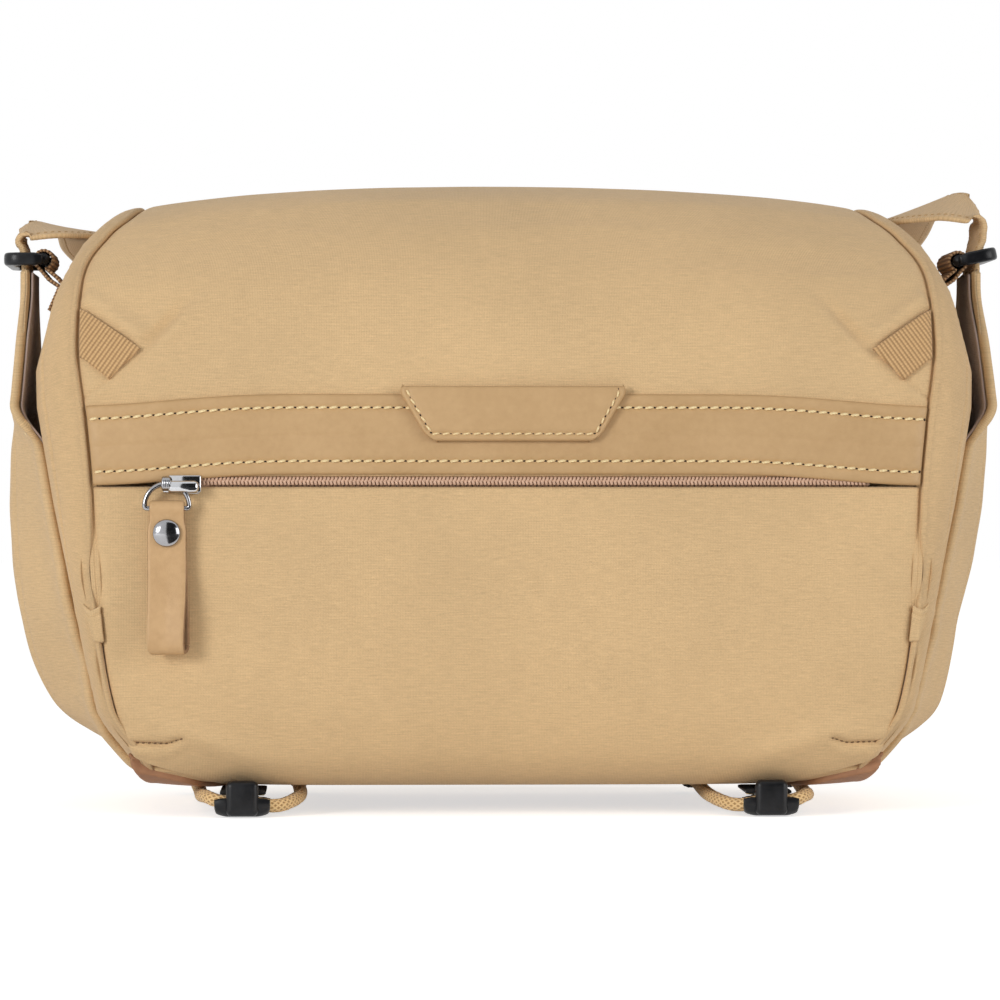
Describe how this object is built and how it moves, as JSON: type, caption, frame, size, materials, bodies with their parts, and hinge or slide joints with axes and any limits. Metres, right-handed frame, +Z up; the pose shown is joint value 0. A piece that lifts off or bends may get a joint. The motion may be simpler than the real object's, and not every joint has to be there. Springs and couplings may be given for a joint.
{
  "type": "padded field pack",
  "caption": "Padded waist and sling pack with a clamshell lid, zipped front pocket, wing pockets, strap rings, webbing strap and bungee loops.",
  "frame": {"origin": "centre of the footprint at ground level", "axes": "+Z up, -Y towards the front pocket, +X towards the pack's left as worn, the right of its front view"},
  "size_m": [0.3426, 0.19, 0.21],
  "materials": {
    "tan_fabric": "fine plain weave, matt",
    "tan_leather": "smooth, satin",
    "brown_leather": "smooth, matt",
    "taupe_lining": "brushed, matt",
    "spacer_mesh": "open spacer mesh, matt",
    "zip_coil": "moulded coil on woven tape",
    "polished_steel": "polished",
    "black_plastic": "moulded, satin",
    "black_cord_pull": "moulded over cord, matt",
    "ribbed_webbing": "ribbed webbing",
    "strap_webbing": "fine ribbed webbing",
    "bungee_cord": "braided sheath"
  },
  "bodies": {
    "root": {"front_lower_panel": "tan_fabric", "rear_top_strip": "tan_fabric", "back_panel": "tan_fabric", "base_panel": "tan_fabric", "base_cover": "brown_leather", "side_gusset_left": "tan_fabric", "side_gusset_right": "tan_fabric", "side_board_left": "tan_fabric", "side_board_right": "tan_fabric", "compartment_lining": "taupe_lining", "divider_left": "taupe_lining", "divider_right": "taupe_lining", "main_zip_body_coil": "zip_coil", "zip_garage_left": "tan_fabric", "zip_garage_right": "tan_fabric", "back_pad_left": "spacer_mesh", "back_pad_right": "spacer_mesh", "wing_pocket_left": "tan_fabric", "wing_pocket_right": "tan_fabric", "wing_lining_left": "taupe_lining", "wing_lining_right": "taupe_lining", "ring_webbing_left": "ribbed_webbing", "ring_webbing_right": "ribbed_webbing", "shoulder_strap": "strap_webbing", "strap_adjuster": "black_plastic", "hook_tab_left": "ribbed_webbing", "hook_tab_right": "ribbed_webbing", "cord_hook_left": "black_plastic", "cord_hook_right": "black_plastic", "cord_anchor_left": "ribbed_webbing", "cord_anchor_right": "ribbed_webbing", "bungee_left": "bungee_cord", "bungee_right": "bungee_cord"},
    "lid": {"lid_board": "tan_fabric", "lid_cover": "tan_fabric", "lid_lining": "taupe_lining", "front_pocket_panel": "tan_fabric", "leather_strip": "tan_leather", "badge_patch": "tan_leather", "front_zip_coil": "zip_coil", "webbing_tab_left": "ribbed_webbing", "webbing_tab_right": "ribbed_webbing", "main_zip_lid_coil": "zip_coil"},
    "front_slider": {"front_slider": "polished_steel"},
    "pull_ring": {"pull_ring": "polished_steel"},
    "leather_puller": {"leather_puller": "tan_leather", "puller_rivet": "polished_steel"},
    "side_ring_left": {"side_ring_left": "black_plastic"},
    "side_ring_right": {"side_ring_right": "black_plastic"},
    "main_slider_left": {"main_slider_left": "polished_steel"},
    "main_slider_right": {"main_slider_right": "polished_steel"},
    "main_pull_left": {"main_pull_left": "black_cord_pull"},
    "main_pull_right": {"main_pull_right": "black_cord_pull"}
  },
  "joints": [
    {"name": "lid_hinge", "type": "hinge", "parent": "root", "child": "lid", "pos_m": [0, -0.08705, 0.049], "axis": [1, 0, 0], "range_deg": [0, 95]},
    {"name": "front_zip", "type": "slide", "parent": "lid", "child": "front_slider", "axis": [1, 0, 0], "range_m": [0, 0.213]},
    {"name": "pull_ring_swing", "type": "hinge", "parent": "front_slider", "child": "pull_ring", "pos_m": [-0.1106, -0.09155, 0.1087], "axis": [-1, 0, 0], "range_deg": [0, 90]},
    {"name": "puller_swing", "type": "hinge", "parent": "pull_ring", "child": "leather_puller", "pos_m": [-0.1106, -0.09155, 0.1007], "axis": [-1, 0, 0], "range_deg": [0, 60]},
    {"name": "side_ring_left_tilt", "type": "hinge", "parent": "root", "child": "side_ring_left", "pos_m": [-0.15387, -0.02205, 0.184], "axis": [0, 1, 0], "range_deg": [-12, 8]},
    {"name": "side_ring_right_tilt", "type": "hinge", "parent": "root", "child": "side_ring_right", "pos_m": [0.15387, -0.02205, 0.184], "axis": [0, -1, 0], "range_deg": [-24, 0]},
    {"name": "main_zip_left", "type": "slide", "parent": "root", "child": "main_slider_left", "axis": [-1, 0, 0], "range_m": [0, 0.07]},
    {"name": "main_pull_left_swing", "type": "hinge", "parent": "main_slider_left", "child": "main_pull_left", "pos_m": [-0.009, 0.03629, 0.203], "axis": [1, 0, 0], "range_deg": [0, 80]},
    {"name": "main_zip_right", "type": "slide", "parent": "root", "child": "main_slider_right", "axis": [1, 0, 0], "range_m": [0, 0.07]},
    {"name": "main_pull_right_swing", "type": "hinge", "parent": "main_slider_right", "child": "main_pull_right", "pos_m": [0.009, 0.03629, 0.203], "axis": [1, 0, 0], "range_deg": [0, 80]}
  ]
}
